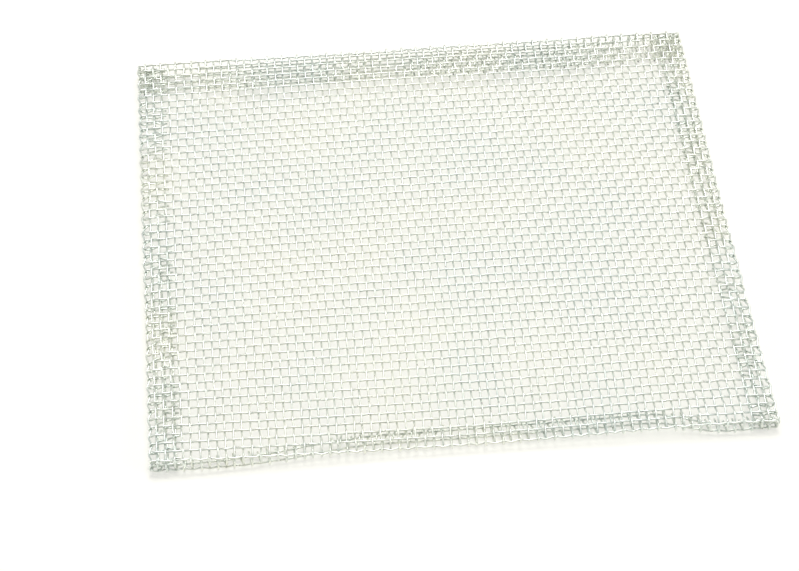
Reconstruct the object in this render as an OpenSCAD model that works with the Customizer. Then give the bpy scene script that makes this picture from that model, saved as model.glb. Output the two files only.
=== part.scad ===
// Wire gauze: a square sheet of plain-woven wire cloth with its four edges folded under.
// The sheet lies flat. X runs along the front edge, Y to the back, Z up. The origin is
// the middle of the sheet on the surface that its corners rest on. Millimetres.
// The cloth is one wall. Each ridge on it stands for about five wires side by side.

/* [Sheet] */
// Finished length of each side, from fold to fold
side = 125; // [80:5:160]
// Width of the hem that is folded under along each edge
hem = 8.8; // [7.6:0.2:12]
// Diameter of the wire
wire_d = 0.42; // [0.3:0.02:0.46]
// Clear space between two layers of cloth that lie on each other
layer_gap = 0.1; // [0.05:0.01:0.2]
// Thickness of the cloth in its blind meshes
web = 0.22; // [0.16:0.02:0.3]
// Width of a ridge of wire at its foot
ridge_w = 1; // [0.8:0.1:1.6]

/* [Wear] */
// How far the middle of the sheet stands above its edges
crown = 1; // [0:0.1:3]
// How far the middle of the front edge sags between its corners
front_sag = 0.7; // [0:0.1:1.2]
// How far the right edge bows inwards at its middle
right_bow = 0.4; // [0:0.1:2]

/* [Weave] */
// Columns of open meshes, from the left hem to the right hem
mesh_columns = 12; // [9:1:12]
// Rows of open meshes, from the front hem to the back hem
mesh_rows = 9; // [7:1:10]
// Blind meshes across a hem
hem_meshes = 2; // [1:1:2]
// Facets around a fold
bend_steps = 4; // [3:1:4]

/* [Hidden] */

// Half the thickness of the cloth where two wires cross
crest = wire_d;
// Height of one layer of cloth above the next
layer = 2 * crest + layer_gap;
// Radius of a plain fold, and of a fold that also takes in a hem
plain_r = layer / 2;
hemmed_r = 3 * plain_r;
// Half the width of the flat field between two folds, and the flat width of a hem
field = side / 2 - plain_r - crest;
hem_flat = hem - plain_r - crest;
// Cloth used by a hem and its fold
hem_cloth = hem_flat + PI * plain_r;
// Half the width of the bare field between two hems
bare = field - hem_flat;
// The front and back folds are full a little inside a side hem's cut edge, then ease off
full_from = bare - hem / 2;
ease = 2 * hem;

// ---- Stations: where the wires cross, along X or Y, before the cloth is folded ----
// Each one is [place on the flat field, share of the fold, share of the hem].
function stations(meshes) = [
    for (k = [hem_meshes:-1:1]) [-field, -1, -k / hem_meshes],
    for (k = [bend_steps:-1:1]) [-field, -k / bend_steps, 0],
    for (k = [hem_meshes:-1:1]) [-bare - hem_flat * k / hem_meshes, 0, 0],
    for (k = [0:meshes]) [bare * (2 * k / meshes - 1), 0, 0],
    for (k = [1:hem_meshes]) [bare + hem_flat * k / hem_meshes, 0, 0],
    for (k = [1:bend_steps]) [field, k / bend_steps, 0],
    for (k = [1:hem_meshes]) [field, 1, k / hem_meshes]
];
// A fold has no wire along it: this counts the wires up to each station
function wires(meshes) = let (far_fold = meshes + 3 * hem_meshes) [
    for (k = [0:hem_meshes]) k,
    for (k = [1:bend_steps]) hem_meshes,
    for (k = [hem_meshes + 1:far_fold]) k,
    for (k = [1:bend_steps]) far_fold,
    for (k = [1:hem_meshes]) far_fold + k
];
function is_woven(wire, k) = wire[k + 1] > wire[k];
// Whether a wire lies along a station
function is_wire(wire, k) =
    k == 0 || k == len(wire) - 1 || is_woven(wire, k - 1) || is_woven(wire, k);

sx = stations(mesh_columns);
sy = stations(mesh_rows);
wx = wires(mesh_columns);
wy = wires(mesh_rows);
last_x = len(sx) - 1;
last_y = len(sy) - 1;
// First station of the bare field, along either axis
bare_at = 2 * hem_meshes + bend_steps;

// ---- Folding ----
// Length along the cloth of a station, for a fold of radius r
function along(station, r) =
    station[0] + station[1] * PI * r + station[2] * (hem_cloth - PI * r);

// A point at length p and height h, after the cloth's end is turned under: [p, h]
function turn_under(p, h, r) = let (
    past = abs(p) - field,
    out = h + r,
    angle = 180 * past / (PI * r)
)
    past <= 0 ? [p, h] :
    angle < 180 ? [sign(p) * (field + out * sin(angle)), out * cos(angle) - r] :
    [sign(p) * (field + PI * r - past), -out - r];

// 0 to 1, with a level start and end
function smooth(t) = let (s = min(max(t, 0), 1)) s * s * (3 - 2 * s);

// Radius of the front and back folds at a given X
function fold_r(x) =
    plain_r + (hemmed_r - plain_r) * smooth((abs(x) - full_from + ease) / ease);

// 1 at the middle of the sheet, 0 at its edges; and 0 to 1 towards one edge
function arch(p) = max(0, 1 - pow(2 * p / side, 2));
function towards(p) = pow(max(0, 2 * p / side), 2);

// The sheet's own bends, for a point of the folded cloth
function settle(x, y, z) = [
    x - right_bow * arch(y) * towards(x),
    y,
    z + 2 * hemmed_r + crest + crown * arch(x) * arch(y) - front_sag * arch(x) * towards(-y)
];

// A point of the cloth: the sides are turned under first, then the front and back
function place(station_x, station_y, h) = let (
    a = turn_under(along(station_x, plain_r), h, plain_r),
    r = fold_r(a[0]),
    b = turn_under(along(station_y, r), a[1], r)
) settle(a[0], b[0], b[1]);

// ---- Weave ----
// Whether the wire along Y passes over the wire along X at a crossing
function y_over(i, j) = (wx[i] + wy[j]) % 2 == 0;
function between(a, b, t) = a * (1 - t) + b * t;
// Half a ridge's foot, as a share of the cell that starts at a station
function foot(station, k) =
    ridge_w / 2 / (along(station[k + 1], plain_r) - along(station[k], plain_r));

// Whether the underside of a cell is in view, inside the hems
function is_bare(i, j) =
    i >= bare_at && i < last_x - bare_at && j >= bare_at && j < last_y - bare_at;
// The underside has ridges only where it is in view. face is 1 for the top of the
// cloth and -1 for its underside.
function is_ridged(i, j, face) = face > 0 || is_bare(i, j);
function crossing_h(i, j, face) = face *
    (is_ridged(i, j, face) && is_ridged(i - 1, j - 1, face) ? crest : web / 2);

function crossing(i, j, face) = place(sx[i], sy[j], crossing_h(i, j, face));

// Each wire falls from the crossing where it is on top to the foot of the ridge that it
// passes under. Round a fold no wire crosses: a shallow groove lies half-way between ridges.
function dip_h(crossed, face) = face * (crossed ? web : crest) / 2;
function dip_x(i, j, face) = let (
    f = foot(sx, i),
    t = !is_wire(wy, j) ? 0.5 : y_over(i, j) == (face > 0) ? f : 1 - f
) place(between(sx[i], sx[i + 1], t), sy[j], dip_h(is_wire(wy, j), face));
function dip_y(i, j, face) = let (
    f = foot(sy, j),
    t = !is_wire(wx, i) ? 0.5 : y_over(i, j) == (face > 0) ? 1 - f : f
) place(sx[i], between(sy[j], sy[j + 1], t), dip_h(is_wire(wx, i), face));

// A corner of a cell's floor, where two ridges' feet meet: right and back are 0 or 1
function floor_corner(i, j, right, back, face) = let (fx = foot(sx, i), fy = foot(sy, j)) place(
    between(sx[i], sx[i + 1], right == 1 ? 1 - fx : fx),
    between(sy[j], sy[j + 1], back == 1 ? 1 - fy : fy), face * web / 2);

// Points of one face of the cloth, in four sets: crossings, dips along X, dips along Y
// and the corners of the floors
function face_points(face) = [
    for (i = [0:last_x], j = [0:last_y]) crossing(i, j, face),
    for (i = [0:last_x - 1], j = [0:last_y]) dip_x(i, j, face),
    for (i = [0:last_x], j = [0:last_y - 1]) dip_y(i, j, face),
    for (i = [0:last_x - 1], j = [0:last_y - 1], q = [[0, 0], [1, 0], [1, 1], [0, 1]])
        floor_corner(i, j, q[0], q[1], face)
];
crossings = (last_x + 1) * (last_y + 1);
dips_x = last_x * (last_y + 1);
dips_y = (last_x + 1) * last_y;
floor_corners = 4 * last_x * last_y;
face_size = crossings + dips_x + dips_y + floor_corners;

// Places of those points in the list
function base(face) = face > 0 ? 0 : face_size;
function at_crossing(i, j, face) = base(face) + i * (last_y + 1) + j;
function at_dip_x(i, j, face) = base(face) + crossings + i * (last_y + 1) + j;
function at_dip_y(i, j, face) = base(face) + crossings + dips_x + i * last_y + j;
function at_floor(i, j, face) = [for (q = [0:3])
    base(face) + crossings + dips_x + dips_y + 4 * (i * last_y + j) + q];

// The dips on a cell's four sides, left out where no ridge meets that side
function in_cloth(i, j) = i >= 0 && j >= 0 && i < last_x && j < last_y;
function dips_on_x(i, j, face) =
    is_woven(wx, i) && ((in_cloth(i, j) && is_ridged(i, j, face)) ||
        (in_cloth(i, j - 1) && is_ridged(i, j - 1, face))) ? [at_dip_x(i, j, face)] : [];
function dips_on_y(i, j, face) =
    is_woven(wy, j) && ((in_cloth(i, j) && is_ridged(i, j, face)) ||
        (in_cloth(i - 1, j) && is_ridged(i - 1, j, face))) ? [at_dip_y(i, j, face)] : [];

// ---- Faces, as rings that run anticlockwise seen from above the unfolded cloth ----
function fan(ring) = [for (k = [1:len(ring) - 2]) [ring[0], ring[k], ring[k + 1]]];

// One side of a ridge, from crossing p by its dip to crossing q, down to the floor
function ridge_side(p, dips, q, p_floor, q_floor) = fan(concat(dips, [q, q_floor, p_floor, p]));

// One cell of the cloth, between two stations along X and two along Y
function cell(i, j, face) = let (
    a = at_crossing(i, j, face),
    b = at_crossing(i + 1, j, face),
    c = at_crossing(i + 1, j + 1, face),
    d = at_crossing(i, j + 1, face),
    ab = dips_on_x(i, j, face),
    bc = dips_on_y(i + 1, j, face),
    cd = dips_on_x(i, j + 1, face),
    da = dips_on_y(i, j, face),
    f = at_floor(i, j, face),
    woven_x = is_woven(wx, i),
    woven_y = is_woven(wy, j)
)
    // Four ridges around a floor, which an open mesh lacks
    is_ridged(i, j, face) && woven_x && woven_y ? concat(
        ridge_side(a, ab, b, f[0], f[1]), ridge_side(b, bc, c, f[1], f[2]),
        ridge_side(c, cd, d, f[2], f[3]), ridge_side(d, da, a, f[3], f[0]),
        is_bare(i, j) ? [] : fan(f)) :
    // A fold: ridge and groove run round it
    is_ridged(i, j, face) && woven_y ?
        concat(fan(concat([a, b], bc, da)), fan(concat(da, bc, [c, d]))) :
    is_ridged(i, j, face) && woven_x ?
        concat(fan(concat([a], ab, cd, [d])), fan(concat(ab, [b, c], cd))) :
    // Plain, with a dip on one side where it meets the ridges
    len(ab) > 0 ? fan(concat([d, a], ab, [b, c])) :
    len(bc) > 0 ? fan(concat([a, b], bc, [c, d])) :
    len(cd) > 0 ? fan(concat([b, c], cd, [d, a])) :
    fan(concat([c, d], da, [a, b]));

// The four walls of an open mesh, between its floors' corners above and below
function mesh_walls(i, j) = let (top = at_floor(i, j, 1), low = at_floor(i, j, -1)) [
    for (k = [0:3]) let (n = (k + 1) % 4) each [[top[n], top[k], low[k]], [top[n], low[k], low[n]]]
];

// One stretch of the cut edge: from crossing p to crossing q, with a dip on top
function cut_edge(p, q, dips, p_low, q_low) = concat(
    [concat([p_low, p], len(dips) > 0 ? dips : [q])],
    len(dips) > 0 ? [concat([p_low], dips, [q_low]), concat(dips, [q, q_low])] :
        [[p_low, q, q_low]]);
function cut_edge_x(i, n, j) = cut_edge(at_crossing(i, j, 1), at_crossing(n, j, 1),
    dips_on_x(min(i, n), j, 1), at_crossing(i, j, -1), at_crossing(n, j, -1));
function cut_edge_y(i, j, n) = cut_edge(at_crossing(i, j, 1), at_crossing(i, n, 1),
    dips_on_y(i, min(j, n), 1), at_crossing(i, j, -1), at_crossing(i, n, -1));

function reversed(ring) = [for (k = [len(ring) - 1:-1:0]) ring[k]];

cloth_points = concat(face_points(1), face_points(-1));
cloth_faces = [
    for (i = [0:last_x - 1], j = [0:last_y - 1]) each concat(
        [for (ring = cell(i, j, 1)) reversed(ring)],
        cell(i, j, -1),
        is_bare(i, j) ? mesh_walls(i, j) : []),
    for (i = [0:last_x - 1]) each concat(cut_edge_x(i, i + 1, 0), cut_edge_x(i + 1, i, last_y)),
    for (j = [0:last_y - 1]) each concat(cut_edge_y(last_x, j, j + 1), cut_edge_y(0, j + 1, j))
];

// The folded sheet of wire cloth
module gauze() {
    color("gainsboro") polyhedron(points = cloth_points, faces = cloth_faces, convexity = 8);
}

gauze();
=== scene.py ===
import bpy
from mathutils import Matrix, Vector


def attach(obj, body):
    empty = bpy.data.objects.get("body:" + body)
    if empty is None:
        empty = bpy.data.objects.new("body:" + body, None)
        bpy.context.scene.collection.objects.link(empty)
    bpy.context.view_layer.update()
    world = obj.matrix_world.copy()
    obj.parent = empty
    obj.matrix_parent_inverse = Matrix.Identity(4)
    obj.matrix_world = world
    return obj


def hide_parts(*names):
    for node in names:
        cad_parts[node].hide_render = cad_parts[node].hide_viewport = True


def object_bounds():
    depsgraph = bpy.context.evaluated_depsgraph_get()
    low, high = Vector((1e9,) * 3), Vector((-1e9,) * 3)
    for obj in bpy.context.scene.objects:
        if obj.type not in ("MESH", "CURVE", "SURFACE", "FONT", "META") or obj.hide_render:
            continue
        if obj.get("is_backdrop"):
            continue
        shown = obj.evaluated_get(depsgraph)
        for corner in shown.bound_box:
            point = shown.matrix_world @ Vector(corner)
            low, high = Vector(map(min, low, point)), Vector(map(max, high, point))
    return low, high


bl_info = {
    "name": "Wire Gauze",
    "version": (1, 0, 0),
    "blender": (4, 5, 0),
    "location": "View3D > Sidebar > Gauze",
    "description": "A woven wire gauze with folded hems, and a pale stage to show it on",
    "category": "Add Mesh",
}

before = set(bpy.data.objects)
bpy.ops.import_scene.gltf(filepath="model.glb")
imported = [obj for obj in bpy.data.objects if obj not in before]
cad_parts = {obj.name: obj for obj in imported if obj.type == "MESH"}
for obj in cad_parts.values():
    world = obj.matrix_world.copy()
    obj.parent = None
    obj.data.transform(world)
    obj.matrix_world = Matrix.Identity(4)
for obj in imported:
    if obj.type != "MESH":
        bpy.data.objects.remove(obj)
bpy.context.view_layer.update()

import math
import random

import bmesh
import bpy
from bpy.props import FloatProperty, FloatVectorProperty, IntProperty, PointerProperty
from bpy.types import Operator, Panel, PropertyGroup
from mathutils import Matrix, Vector

MM = 0.001
NODE = "gauze"
BODY = "root"
TAB = "Gauze"
WARP_PIECES = ("warp_wires_left", "warp_wires_middle", "warp_wires_right")
WEFT_PIECES = ("weft_wires_front", "weft_wires_middle", "weft_wires_back")


# ---------------------------------------------------------------- settings

def length(name, description, default, low, high):
    """A length that is given in millimetres and kept in metres."""
    return FloatProperty(name=name, description=description, default=default * MM,
                         min=low * MM, max=high * MM, unit="LENGTH", precision=5)


def share(name, description, default):
    return FloatProperty(name=name, description=description, default=default,
                         min=0.0, max=1.0, subtype="FACTOR")


def angle(name, description, default, low, high):
    """An angle that is given in degrees and kept in radians."""
    return FloatProperty(name=name, description=description, default=math.radians(default),
                         min=math.radians(low), max=math.radians(high), unit="ROTATION")


def power(name, description, default):
    return FloatProperty(name=name, description=description, default=default,
                         min=0.0, max=100.0, unit="POWER")


def colour(name, description, default):
    return FloatVectorProperty(name=name, description=description, default=default,
                               min=0.0, max=1.0, size=3, subtype="COLOR")


def count(name, description, default, low, high):
    return IntProperty(name=name, description=description, default=default, min=low, max=high)


class GauzeCloth(PropertyGroup):
    side: length("Side", "Edge of the folded square", 125, 80, 160)
    left_hem: length("Left hem", "Width folded under at the left edge", 6.2, 4, 12)
    right_hem: length("Right hem", "Width folded under at the right edge", 5.9, 4, 12)
    front_hem: length("Front hem", "Width folded under at the front edge", 6.0, 4, 12)
    back_hem: length("Back hem", "Width folded under at the back edge", 9.9, 4, 12)
    wire: length("Wire", "Diameter of the wire", 0.42, 0.3, 0.46)
    layer_gap: length("Layer gap", "Air between two folded layers", 0.1, 0.05, 0.2)
    warp_meshes: count("Meshes across", "Meshes from the left fold to the right fold", 73, 20, 100)
    weft_meshes: count("Meshes deep", "Meshes from the front fold to the back fold", 54, 20, 100)
    warp_crimp: share("Warp crimp", "Share of the bend that the warp wires take", 0.72)
    seed: count("Seed", "Choice of the small unevenness", 7, 0, 999)


class GauzeWear(PropertyGroup):
    crown: length("Crown", "Rise of the middle", 1.0, 0, 3)
    front_sag: length("Front sag", "How far the front edge sags between its corners", 1.2, 0, 1.5)
    right_bow: length("Right bow", "Inward bow of the right edge", 0.3, 0, 2)
    back_bow: length("Back bow", "Outward bow of the back edge", 0.5, 0, 0.9)
    drift: length("Drift", "How far the wires wander in waves", 0.16, 0, 0.4)
    spacing: length("Spacing", "How unevenly the wires are spaced", 0.05, 0, 0.2)
    jitter: length("Jitter", "How far single crossings stray", 0.03, 0, 0.1)
    slip: length("Slip", "How far a hem's lower layer strays along its fold", 1.4, 0, 2)
    lean: length("Lean", "How far back the lower layers of the side hems lie", 1.4, 0, 2)
    zigzag: length("Zigzag", "How far a hem's wires swing between crossings", 0.12, 0, 0.3)
    skew: angle("Skew", "How far the wires run off square to the folds", 0.25, 0, 2)


class GauzeFinish(PropertyGroup):
    pale: colour("Pale zinc", "Clean zinc coat", (0.92, 0.93, 0.83))
    grey: colour("Grey zinc", "Dulled zinc coat", (0.80, 0.855, 0.81))
    # This colour stands for dirt and for painted shade: it darkens the wires where they pass under
    # a crossing wire.
    grime_and_shade: colour("Grime and shade", "Dirt in the crossings", (0.39, 0.455, 0.43))
    steel: colour("Cut steel", "Bare steel on the cut ends", (0.36, 0.36, 0.36))
    metal: share("Metal", "How metallic the coat looks", 0.7)
    satin: share("Satin", "Roughness of the coat", 0.33)


class GauzeStage(PropertyGroup):
    floor: colour("Floor", "Colour of the floor", (0.55, 0.54, 0.48))
    floor_glow: share("Floor glow", "White added where the floor is seen", 0.48)
    fill: share("Fill", "Strength of the even light", 0.27)
    key: power("Key", "Power of the large lamp above the sheet", 11.0)
    side_light: power("Sides", "Power of each of the two low lamps at the sides", 4.5)
    lens: FloatProperty(name="Lens", description="Focal length on a 36 mm wide frame",
                        default=126.2, min=20.0, max=300.0, unit="CAMERA")
    turn: angle("Turn", "How far right of straight back the camera looks", 4.291, -180, 180)
    tilt: angle("Tilt", "How far down the camera looks", 42.986, -90, 90)
    roll: angle("Roll", "How far the camera leans to its left", -0.961, -180, 180)
    distance: length("Distance", "Camera to the point it looks at", 588.44, 100, 3000)
    aim_x: length("Aim X", "How far right of the middle the camera looks", -8.99, -100, 100)
    aim_y: length("Aim Y", "How far behind the middle the camera looks", -13.27, -100, 100)


# ---------------------------------------------------------------- the folded sheet

EASE = 17.6 * MM     # over this length a front or back fold grows to its full height
LONG_EASE = 38 * MM  # the same towards the front left corner, which is pressed less flat


def smooth(t):
    """Rises smoothly from 0 to 1 as t does, and stays there."""
    s = min(max(t, 0.0), 1.0)
    return s * s * (3 - 2 * s)


class Sheet:
    """Carries a point of the flat cloth to its place in the folded, settled sheet.

    The flat cloth has u to the right, v to the back and h upwards, from its middle. The left
    and right hems are turned under first, and the front and back ones then go round them.
    """

    def __init__(self, cloth, wear):
        self.cloth, self.wear = cloth, wear
        self.side = cloth.side
        self.crest = cloth.wire                                   # half of evenly bent cloth
        self.plain_r = self.crest + cloth.layer_gap / 2           # a fold of one layer
        self.hemmed_r = 3 * self.plain_r                          # a fold round a side hem
        self.field = self.side / 2 - self.plain_r - self.crest    # where the folds start
        self.bend_line = self.field + math.pi * self.plain_r / 2  # the middle of a fold

    def flat(self, hem):
        """The flat part of a hem of the given width."""
        return hem - self.plain_r - self.crest

    def reach(self, hem):
        """Where the flat cloth ends beyond the middle, on the side of that hem."""
        return self.field + math.pi * self.plain_r + self.flat(hem)

    def fold_r(self, x, y):
        """Radius of the front and back folds, which grow where they take in a side hem.

        They have grown in full half a hem's width before they meet it.
        """
        hem = self.cloth.left_hem if x < 0 else self.cloth.right_hem
        full_from = self.field - self.flat(hem) - hem / 2
        ease = LONG_EASE if x < 0 and y < 0 else EASE
        part = smooth((abs(x) - full_from + ease) / ease)
        return self.plain_r + (self.hemmed_r - self.plain_r) * part

    def turn_under(self, p, h, r):
        """Where a point goes that is p across the folds and h high, at a fold of radius r."""
        past = abs(p) - self.field
        if past <= 0:
            return p, h
        out, bent = h + r, past / r
        if bent < math.pi:
            return math.copysign(self.field + out * math.sin(bent), p), out * math.cos(bent) - r
        return math.copysign(self.field + math.pi * r - past, p), -out - r

    def arch(self, p):
        """1 in the middle of the sheet and 0 at both edges."""
        return max(0.0, 1 - (2 * p / self.side) ** 2)

    def towards(self, p):
        """0 up to the middle of the sheet and 1 at the edge beyond it."""
        return max(0.0, 2 * p / self.side) ** 2

    def settle(self, x, y, z):
        """Sets the sheet down on its corners, and bends it as it lies."""
        w = self.wear
        rise_up = w.crown * self.arch(x) * self.arch(y)
        sag = w.front_sag * self.arch(x) ** 2 * self.towards(-y)
        return (x - w.right_bow * self.arch(y) * self.towards(x),
                y + w.back_bow * self.arch(x) * self.towards(y),
                z + 2 * self.hemmed_r + self.crest + (rise_up - sag))

    def place(self, u, v, h):
        """Where a point of the flat cloth ends up."""
        x, z = self.turn_under(u, h, self.plain_r)
        y, z = self.turn_under(v, z, self.fold_r(x, v))
        return self.settle(x, y, z)


# ---------------------------------------------------------------- the weave

ALONG_U, ALONG_V = 0, 1

STEPS = 4                 # points from one crossing to the next
FOLD_STEPS = 12           # the same where a wire goes round a fold
FOLD_MARGIN = 0.8 * MM    # how far before and after a fold it has them too
SIDES = 8                 # faces round a wire
TIGHT = 0.2               # share of a straight run in the bend between two crossings
LEAD = 0.5                # meshes that a wire runs on before its first crossing
TAIL = 0.25               # meshes that it runs on after its last one
SHARP = math.radians(60)  # edges that turn by more aren't smoothed, as round the cut ends

WAVES = 3                 # waves that add up to one wandering of the wires
DRIFT = (60, 190)         # least and most radians of a wave to a metre, over the sheet
HEM_DRIFT = (200, 330)    # the same along a hem
HEM_BAND = 12 * MM        # width inside the folds over which the weave gets less even
SLIP_BAND = 3 * MM        # length past a fold over which the slip of its lower layer sets in


def wave(rng, closeness):
    """A smooth and repeatable function of two numbers, from about -1 to 1."""
    parts = [(rng.uniform(*closeness), rng.uniform(0, math.tau), rng.uniform(0, math.tau))
             for _ in range(WAVES)]

    def value(u, v):
        total = sum(math.sin(u * close * math.cos(way) + v * close * math.sin(way) + start)
                    for close, way, start in parts)
        return total / WAVES
    return value


def lay(sheet, meshes, first_hem, last_hem):
    """Places of the wires over the flat cloth, with a wire on the line of each fold."""
    pitch = 2 * sheet.bend_line / meshes
    before, after = [int((sheet.reach(hem) - sheet.bend_line) / pitch)
                     for hem in (first_hem, last_hem)]
    return [k * pitch - sheet.bend_line for k in range(-before, meshes + after + 1)]


def crossings(sheet):
    """Where wire c of the warp crosses wire j of the weft, on the flat cloth."""
    cloth, wear = sheet.cloth, sheet.wear
    rng = random.Random(cloth.seed)
    drift_u, drift_v = wave(rng, DRIFT), wave(rng, DRIFT)
    warp = lay(sheet, cloth.warp_meshes, cloth.left_hem, cloth.right_hem)
    weft = lay(sheet, cloth.weft_meshes, cloth.front_hem, cloth.back_hem)
    off_u = [rng.gauss(0, wear.spacing) for _ in warp]
    off_v = [rng.gauss(0, wear.spacing) for _ in weft]
    slip_u, slip_v = wave(rng, HEM_DRIFT), wave(rng, HEM_DRIFT)
    grid = []
    for c, u in enumerate(warp):
        column = []
        for j, v in enumerate(weft):
            hemmed = smooth((max(abs(u), abs(v)) - sheet.field + HEM_BAND) / HEM_BAND)
            swing = wear.zigzag * hemmed * (-1) ** (c + j)
            stray_u = wear.drift * drift_u(u, v) + rng.gauss(0, wear.jitter)
            stray_v = wear.drift * drift_v(u, v) + rng.gauss(0, wear.jitter)
            under_u = smooth((abs(u) - sheet.bend_line) / SLIP_BAND)
            under_v = smooth((abs(v) - sheet.bend_line - sheet.hemmed_r) / SLIP_BAND)
            shift_u = under_v * wear.slip * slip_u(u, math.copysign(1, v))
            shift_v = under_u * (wear.lean + wear.slip * slip_v(math.copysign(1, u), v))
            new_u = u + off_u[c] + wear.skew * v + (1 + hemmed) * stray_u + shift_u
            new_v = v + off_v[j] - wear.skew * u + (1 + hemmed) * stray_v + shift_v + swing
            column.append((new_u, new_v))
        grid.append(column)
    return grid


def rise(t):
    """Height of a wire between two crossings, from 1 over one to -1 under the next."""
    return (1 - TIGHT) * math.cos(math.pi * t) + TIGHT * (1 - 2 * t)


def beyond(last, inner):
    """The knot that would follow the last one of a wire."""
    return [2 * a - b for a, b in zip(last, inner)]


def run(sheet, knots, along, sign, bend):
    """The points of one wire through its crossings: places, how deep in the weave, distance run.

    The sign is 1 where it goes over its first crossing and -1 where it goes under it, and the
    bend is how far it goes above and below the middle of the cloth.
    """
    lead, tail = beyond(knots[0], knots[1]), beyond(knots[-1], knots[-2])
    route = [lead, *knots, tail]
    flat = []
    for i, (start, end) in enumerate(zip(route, route[1:])):
        first = 1 - LEAD if start is lead else 0.0
        last = TAIL if end is tail else 1.0
        level = sign * (-1) ** (i + 1)
        middle = abs(start[along] + end[along]) / 2
        radius = sheet.plain_r if along == ALONG_U else sheet.fold_r(*start)
        fold_end = sheet.field + math.pi * radius
        folding = sheet.field - FOLD_MARGIN < middle < fold_end + FOLD_MARGIN
        steps = FOLD_STEPS if folding else STEPS
        for k in range(steps):
            t = k / steps
            if first <= t <= last:
                u, v = [a + (b - a) * t for a, b in zip(start, end)]
                flat.append((u, v, bend * level * rise(t)))
    places = [sheet.place(*p) for p in flat]
    depth = [0.5 - 0.5 * h / bend for u, v, h in flat]
    ran = [0.0]
    for a, b in zip(places, places[1:]):
        ran.append(ran[-1] + math.dist(a, b))
    return places, depth, ran


def tubes(name, wires, radius):
    """One mesh of round wires along the given places, with closed ends."""
    line = bpy.data.curves.new(name, "CURVE")
    line.dimensions = "3D"
    line.bevel_depth = radius
    line.bevel_resolution = SIDES // 2 - 2  # which gives that many faces
    line.use_fill_caps = False
    for places, _, _ in wires:
        spline = line.splines.new("POLY")
        spline.points.add(len(places) - 1)
        spline.points.foreach_set("co", [x for p in places for x in (*p, 1.0)])
    holder = bpy.data.objects.new(name + "_line", line)
    bpy.context.scene.collection.objects.link(holder)
    graph = bpy.context.evaluated_depsgraph_get()
    mesh = bpy.data.meshes.new_from_object(holder.evaluated_get(graph))
    bpy.data.objects.remove(holder)
    bpy.data.curves.remove(line)

    shape = bmesh.new()
    shape.from_mesh(mesh)
    bmesh.ops.holes_fill(shape, edges=[e for e in shape.edges if e.is_boundary], sides=SIDES)
    bmesh.ops.recalc_face_normals(shape, faces=shape.faces)
    shape.to_mesh(mesh)
    shape.free()
    mesh.name = name
    return mesh


def mark(mesh, wires, rng):
    """Puts on each point its run, its place round the wire, the wire's tone and how deep it is."""
    strand, deep = [], []
    for _, depth, ran in wires:
        tone = rng.random()
        start = rng.uniform(0, 1)
        for d, s in zip(depth, ran):
            for k in range(SIDES):
                strand.extend((start + s, k / SIDES, tone))
                deep.append(d)
    if len(mesh.vertices) != len(deep):
        raise RuntimeError(f"{mesh.name}: {len(mesh.vertices)} points, not {len(deep)}")
    mesh.attributes.new("strand", "FLOAT_VECTOR", "POINT").data.foreach_set("vector", strand)
    mesh.attributes.new("depth", "FLOAT", "POINT").data.foreach_set("value", deep)


def coat(mesh):
    """Zinc on the wires, and bare steel on their ends, the only faces with over four corners."""
    mesh.polygons.foreach_set("use_smooth", [True] * len(mesh.polygons))
    mesh.set_sharp_from_angle(angle=SHARP)
    mesh.materials.clear()
    mesh.materials.append(wire_material())
    mesh.materials.append(cut_material())
    ends = [int(len(face.vertices) > 4) for face in mesh.polygons]
    mesh.polygons.foreach_set("material_index", ends)


def weave(wires, names, radius, rng):
    """Makes a piece for each name, with the wires shared out evenly."""
    per = math.ceil(len(wires) / len(names))
    for i, name in enumerate(names):
        own = wires[i * per:(i + 1) * per]
        mesh = tubes(name, own, radius)
        mark(mesh, own, rng)
        coat(mesh)
        piece = bpy.data.objects.new(name, mesh)
        bpy.context.scene.collection.objects.link(piece)
        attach(piece, BODY)
        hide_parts(NODE)


# ---------------------------------------------------------------- materials

PATCH = 42                   # how close the dull patches are over the sheet
SPOT = (900, 1.5, 40)        # how close the spots are along a wire, round it and over the tones
STREAK = (260, 5, 40)        # the same for the longer streaks
NOISE_RANGE = (0.3, 0.7)     # where most of a noise lies
PATCH_RANGE = (0.38, 0.64)   # the noise at which a patch starts, and is full
SPOT_RANGE = (0.35, 0.75)    # the same for a spot
PATCH_DULLS = 0.55           # how far a full patch takes the coat to the grey zinc
TONE_DULLS = 0.25            # how far the wire's tone takes it
SPOT_DULLS = 0.45            # how far a full spot takes it
DULL_RANGE = (0.15, 1.0)     # the sum of these at which it starts, and is all grey
POCKET_RANGE = (0.55, 1.0)   # how deep in the weave the grime and painted shade start, and are full
GRIME_AND_SHADE_RANGE = (0.15, 0.75)   # how much of the coat the grime and painted shade cover there, by the streaks
SATIN_RANGE = (-0.08, 0.14)  # what the spots add to the roughness
SPOT_GRAIN = 0.6             # share of the spots in the grain
STREAK_GRAIN = 0.4           # share of the streaks in it
GRAIN = 0.02 * MM            # height of the grain
GRAIN_STRENGTH = 0.5         # how much of that height shows
DULLED_STEEL = 0.7           # the darker tone of the cut ends, as a share of the lighter one


def new_nodes(material):
    material.use_nodes = True
    material.node_tree.nodes.clear()
    return material.node_tree.nodes, material.node_tree.links


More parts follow.
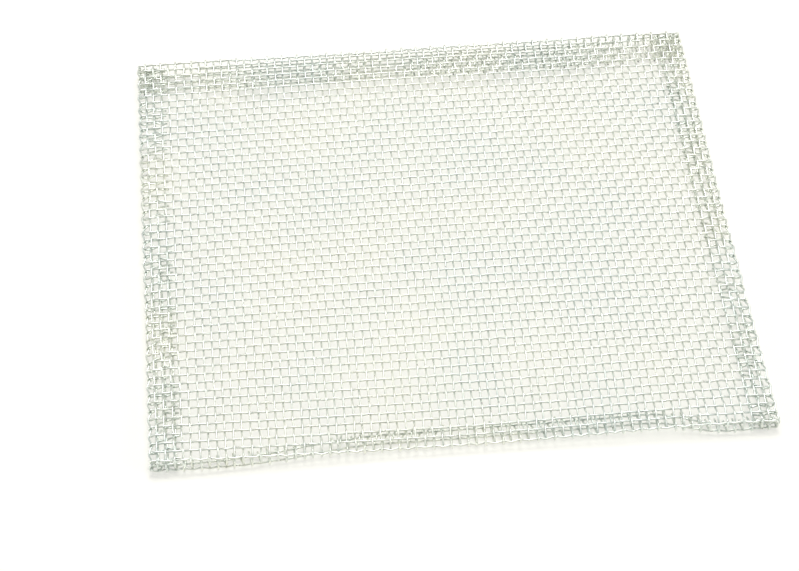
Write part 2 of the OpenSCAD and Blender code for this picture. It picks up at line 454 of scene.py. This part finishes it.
def zinc_group():
    """Zinc coat: colour, roughness and grain height from the run of the wire and the place. The
    colour takes dirt and painted shade where the wire goes under a crossing.
    """
    name = "Zinc coat"
    if name in bpy.data.node_groups:
        return bpy.data.node_groups[name]
    tree = bpy.data.node_groups.new(name, "ShaderNodeTree")
    for label in ("Pale", "Grey", "Grime and shade"):
        tree.interface.new_socket(label, in_out="INPUT", socket_type="NodeSocketColor")
    tree.interface.new_socket("Satin", in_out="INPUT", socket_type="NodeSocketFloat")
    tree.interface.new_socket("Color", in_out="OUTPUT", socket_type="NodeSocketColor")
    for label in ("Roughness", "Height"):
        tree.interface.new_socket(label, in_out="OUTPUT", socket_type="NodeSocketFloat")
    nodes, links = tree.nodes, tree.links
    enter, leave = nodes.new("NodeGroupInput"), nodes.new("NodeGroupOutput")

    def noise(source, detail, scale=1, stretch=(1, 1, 1)):
        mapping = nodes.new("ShaderNodeMapping")
        mapping.inputs["Scale"].default_value = stretch
        links.new(source, mapping.inputs["Vector"])
        texture = nodes.new("ShaderNodeTexNoise")
        texture.inputs["Scale"].default_value = scale
        texture.inputs["Detail"].default_value = detail
        links.new(mapping.outputs["Vector"], texture.inputs["Vector"])
        return texture.outputs["Fac"]

    def span(source, ends, new_ends=(0.0, 1.0)):
        node = nodes.new("ShaderNodeMapRange")
        keys = ("From Min", "From Max", "To Min", "To Max")
        for key, value in zip(keys, (*ends, *new_ends)):
            node.inputs[key].default_value = value
        links.new(source, node.inputs["Value"])
        return node.outputs["Result"]

    def maths(kind, a, b):
        node = nodes.new("ShaderNodeMath")
        node.operation = kind
        for socket, value in zip(node.inputs, (a, b)):
            if isinstance(value, (int, float)):
                socket.default_value = value
            else:
                links.new(value, socket)
        return node.outputs["Value"]

    def mix(factor, a, b):
        node = nodes.new("ShaderNodeMix")
        node.data_type = "RGBA"
        links.new(factor, node.inputs["Factor"])
        links.new(a, node.inputs["A"])
        links.new(b, node.inputs["B"])
        return node.outputs["Result"]

    place = nodes.new("ShaderNodeTexCoord").outputs["Object"]
    strand = nodes.new("ShaderNodeAttribute")
    strand.attribute_name = "strand"
    along = strand.outputs["Vector"]
    depth = nodes.new("ShaderNodeAttribute")
    depth.attribute_name = "depth"
    tone = nodes.new("ShaderNodeSeparateXYZ")
    links.new(along, tone.inputs["Vector"])

    patch = span(noise(place, detail=2, scale=PATCH), PATCH_RANGE)
    spot = noise(along, detail=3, stretch=SPOT)
    streak = noise(along, detail=2, stretch=STREAK)

    dull = maths("ADD", maths("MULTIPLY", patch, PATCH_DULLS),
                 maths("MULTIPLY", tone.outputs["Z"], TONE_DULLS))
    dull = maths("ADD", dull, span(spot, SPOT_RANGE, (0.0, SPOT_DULLS)))
    zinc = mix(span(dull, DULL_RANGE), enter.outputs["Pale"], enter.outputs["Grey"])
    # Dirt and painted shade: the colour goes towards the grime colour where the wire lies deep in
    # the weave, under a crossing wire, and is broken up by the streaks.
    pocket = maths("MULTIPLY", span(depth.outputs["Fac"], POCKET_RANGE),
                   span(streak, NOISE_RANGE, GRIME_AND_SHADE_RANGE))
    links.new(mix(pocket, zinc, enter.outputs["Grime and shade"]), leave.inputs["Color"])

    satin = maths("ADD", enter.outputs["Satin"], span(spot, NOISE_RANGE, SATIN_RANGE))
    links.new(satin, leave.inputs["Roughness"])
    grain = maths("ADD", maths("MULTIPLY", spot, SPOT_GRAIN),
                  maths("MULTIPLY", streak, STREAK_GRAIN))
    links.new(grain, leave.inputs["Height"])
    return tree


def coated(name, metal, pale, grey):
    """A new material with the zinc coat's pattern, and its shader and pattern nodes."""
    finish = bpy.context.scene.gauze_finish
    material = bpy.data.materials.new(name)
    nodes, links = new_nodes(material)
    out = nodes.new("ShaderNodeOutputMaterial")
    shader = nodes.new("ShaderNodeBsdfPrincipled")
    shader.inputs["Metallic"].default_value = metal
    links.new(shader.outputs["BSDF"], out.inputs["Surface"])
    pattern = nodes.new("ShaderNodeGroup")
    pattern.node_tree = zinc_group()
    pattern.inputs["Pale"].default_value = (*pale, 1)
    pattern.inputs["Grey"].default_value = (*grey, 1)
    pattern.inputs["Grime and shade"].default_value = (*finish.grime_and_shade, 1)
    pattern.inputs["Satin"].default_value = finish.satin
    links.new(pattern.outputs["Color"], shader.inputs["Base Color"])
    links.new(pattern.outputs["Roughness"], shader.inputs["Roughness"])
    return material, shader, pattern


def wire_material():
    """The zinc coat, with its fine grain."""
    name = "zinc_wire"
    if name in bpy.data.materials:
        return bpy.data.materials[name]
    finish = bpy.context.scene.gauze_finish
    material, shader, pattern = coated(name, finish.metal, finish.pale, finish.grey)
    nodes, links = material.node_tree.nodes, material.node_tree.links
    bump = nodes.new("ShaderNodeBump")
    bump.inputs["Strength"].default_value = GRAIN_STRENGTH
    bump.inputs["Distance"].default_value = GRAIN
    links.new(pattern.outputs["Height"], bump.inputs["Height"])
    links.new(bump.outputs["Normal"], shader.inputs["Normal"])
    return material


def cut_material():
    """Bare steel, as dirty as the zinc, with the same painted shade under the crossings."""
    name = "cut_steel"
    if name in bpy.data.materials:
        return bpy.data.materials[name]
    steel = bpy.context.scene.gauze_finish.steel
    material, _, _ = coated(name, 1.0, steel, [DULLED_STEEL * c for c in steel])
    return material


# ---------------------------------------------------------------- the stage

# Lengths here are in metres, and the film's alone in millimetres.
FLOOR_SIDE = 6.0
FLOOR_ROUGHNESS = 0.9
FLOOR_SHEEN = 0.1
KEY_SIZE = 0.7
KEY_PLACE = (0.06, 0.45, 1.12)
SIDE_SIZE = 0.8
LEFT_PLACE = (-0.88, -0.40, 0.32)
RIGHT_PLACE = (0.88, -0.40, 0.32)
FILM_WIDTH = 36
NEAREST = 0.01  # the camera sees nothing nearer
FARTHEST = 20   # or farther


def seen(nodes, links):
    """1 where the surface is seen, also in metal or through glass, and 0 for all other light."""
    path = nodes.new("ShaderNodeLightPath")
    total = path.outputs["Is Camera Ray"]
    for name in ("Is Glossy Ray", "Is Transmission Ray"):
        node = nodes.new("ShaderNodeMath")
        node.operation = "MAXIMUM"
        links.new(total, node.inputs[0])
        links.new(path.outputs[name], node.inputs[1])
        total = node.outputs["Value"]
    return total


def lamp(name, energy, size, place):
    """A square lamp that points at the middle of the sheet."""
    light = bpy.data.lights.new(name, "AREA")
    light.energy = energy
    light.shape = "SQUARE"
    light.size = size
    holder = bpy.data.objects.new(name, light)
    turned = (-Vector(place)).to_track_quat("-Z", "Y").to_matrix().to_4x4()
    holder.matrix_world = Matrix.Translation(place) @ turned
    bpy.context.scene.collection.objects.link(holder)


def floor_material(stage):
    """A pale floor that keeps shadows, and is white where it is seen."""
    material = bpy.data.materials.new("floor_white")
    nodes, links = new_nodes(material)
    out = nodes.new("ShaderNodeOutputMaterial")
    shader = nodes.new("ShaderNodeBsdfPrincipled")
    shader.inputs["Base Color"].default_value = (*stage.floor, 1)
    shader.inputs["Roughness"].default_value = FLOOR_ROUGHNESS
    shader.inputs["Specular IOR Level"].default_value = FLOOR_SHEEN
    shader.inputs["Emission Color"].default_value = (1, 1, 1, 1)
    glow = nodes.new("ShaderNodeMath")
    glow.operation = "MULTIPLY"
    glow.inputs[1].default_value = stage.floor_glow
    links.new(seen(nodes, links), glow.inputs[0])
    links.new(glow.outputs["Value"], shader.inputs["Emission Strength"])
    links.new(shader.outputs["BSDF"], out.inputs["Surface"])
    return material


def even_light(strength):
    """A world that lights the sheet the same from all sides."""
    world = bpy.data.worlds.new("even_light")
    world.use_nodes = True
    nodes, links = world.node_tree.nodes, world.node_tree.links
    nodes.clear()
    out = nodes.new("ShaderNodeOutputWorld")
    sky = nodes.new("ShaderNodeBackground")
    sky.inputs["Color"].default_value = (1, 1, 1, 1)
    sky.inputs["Strength"].default_value = strength
    links.new(sky.outputs["Background"], out.inputs["Surface"])
    return world


def aimed_camera(stage):
    """A camera turned, tilted and rolled about the point that it looks at."""
    turn, tilt, roll = stage.turn, stage.tilt, stage.roll
    level = math.cos(tilt)
    ahead = Vector((math.sin(turn) * level, math.cos(turn) * level, -math.sin(tilt)))
    right = Vector((math.cos(turn), -math.sin(turn), 0))
    up = right.cross(ahead)
    side = math.cos(roll) * right + math.sin(roll) * up
    top = -math.sin(roll) * right + math.cos(roll) * up
    pose = Matrix((side, top, -ahead)).transposed().to_4x4()
    pose.translation = Vector((stage.aim_x, stage.aim_y, 0)) - ahead * stage.distance
    view = bpy.data.cameras.new("camera")
    view.sensor_fit = "HORIZONTAL"
    view.sensor_width = FILM_WIDTH
    view.lens = stage.lens
    view.clip_start = NEAREST
    view.clip_end = FARTHEST
    camera = bpy.data.objects.new("camera", view)
    camera.matrix_world = pose
    return camera


# ---------------------------------------------------------------- operators

class GAUZE_OT_warp(Operator):
    """Weaves the wires that run front to back"""
    bl_idname = "gauze.warp"
    bl_label = "Warp wires"

    def execute(self, context):
        cloth = context.scene.gauze_cloth
        sheet = Sheet(cloth, context.scene.gauze_wear)
        bend = cloth.wire * cloth.warp_crimp
        columns = crossings(sheet)
        wires = [run(sheet, column, ALONG_V, (-1) ** c, bend) for c, column in enumerate(columns)]
        weave(wires, WARP_PIECES, cloth.wire / 2, random.Random(cloth.seed + 1))
        return {"FINISHED"}


class GAUZE_OT_weft(Operator):
    """Weaves the wires that run left to right"""
    bl_idname = "gauze.weft"
    bl_label = "Weft wires"

    def execute(self, context):
        cloth = context.scene.gauze_cloth
        sheet = Sheet(cloth, context.scene.gauze_wear)
        bend = cloth.wire * (1 - cloth.warp_crimp)
        rows = list(zip(*crossings(sheet)))
        wires = [run(sheet, row, ALONG_U, -(-1) ** j, bend) for j, row in enumerate(rows)]
        weave(wires, WEFT_PIECES, cloth.wire / 2, random.Random(cloth.seed + 2))
        return {"FINISHED"}


class GAUZE_OT_stage(Operator):
    """Sets the floor, the soft light and the camera"""
    bl_idname = "gauze.stage"
    bl_label = "Stage"

    def execute(self, context):
        scene, stage = context.scene, context.scene.gauze_stage
        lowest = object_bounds()[0][2]
        bpy.ops.mesh.primitive_plane_add(size=FLOOR_SIDE, location=(0, 0, lowest))
        floor = context.object
        floor.name = "floor"
        floor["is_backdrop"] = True
        floor.data.materials.append(floor_material(stage))
        scene.world = even_light(stage.fill)
        lamp("key_light", stage.key, KEY_SIZE, KEY_PLACE)
        lamp("left_light", stage.side_light, SIDE_SIZE, LEFT_PLACE)
        lamp("right_light", stage.side_light, SIDE_SIZE, RIGHT_PLACE)
        camera = aimed_camera(stage)
        scene.collection.objects.link(camera)
        scene.camera = camera
        scene.view_settings.view_transform = "Standard"
        return {"FINISHED"}


class GAUZE_PT_panel(Panel):
    """Lists the pieces of the gauze and their settings"""
    bl_idname = "GAUZE_PT_panel"
    bl_label = "Wire gauze"
    bl_space_type = "VIEW_3D"
    bl_region_type = "UI"
    bl_category = TAB

    def draw(self, context):
        column = self.layout.column(align=True)
        for operator in OPERATORS:
            column.operator(operator.bl_idname)
        for name, kind in SETTINGS.items():
            box = self.layout.box()
            box.label(text=name.replace("gauze_", "").capitalize())
            for key in kind.__annotations__:
                box.prop(getattr(context.scene, name), key)


OPERATORS = (GAUZE_OT_warp, GAUZE_OT_weft, GAUZE_OT_stage)
SETTINGS = {"gauze_cloth": GauzeCloth, "gauze_wear": GauzeWear, "gauze_finish": GauzeFinish,
            "gauze_stage": GauzeStage}
CLASSES = (*SETTINGS.values(), *OPERATORS, GAUZE_PT_panel)


def register():
    for kind in CLASSES:
        bpy.utils.register_class(kind)
    for name, kind in SETTINGS.items():
        setattr(bpy.types.Scene, name, PointerProperty(type=kind))


def unregister():
    for name in SETTINGS:
        delattr(bpy.types.Scene, name)
    for kind in reversed(CLASSES):
        bpy.utils.unregister_class(kind)


def main():
    register()
    bpy.ops.gauze.warp()
    bpy.ops.gauze.weft()
    bpy.ops.gauze.stage()


if __name__ == "__main__":
    main()
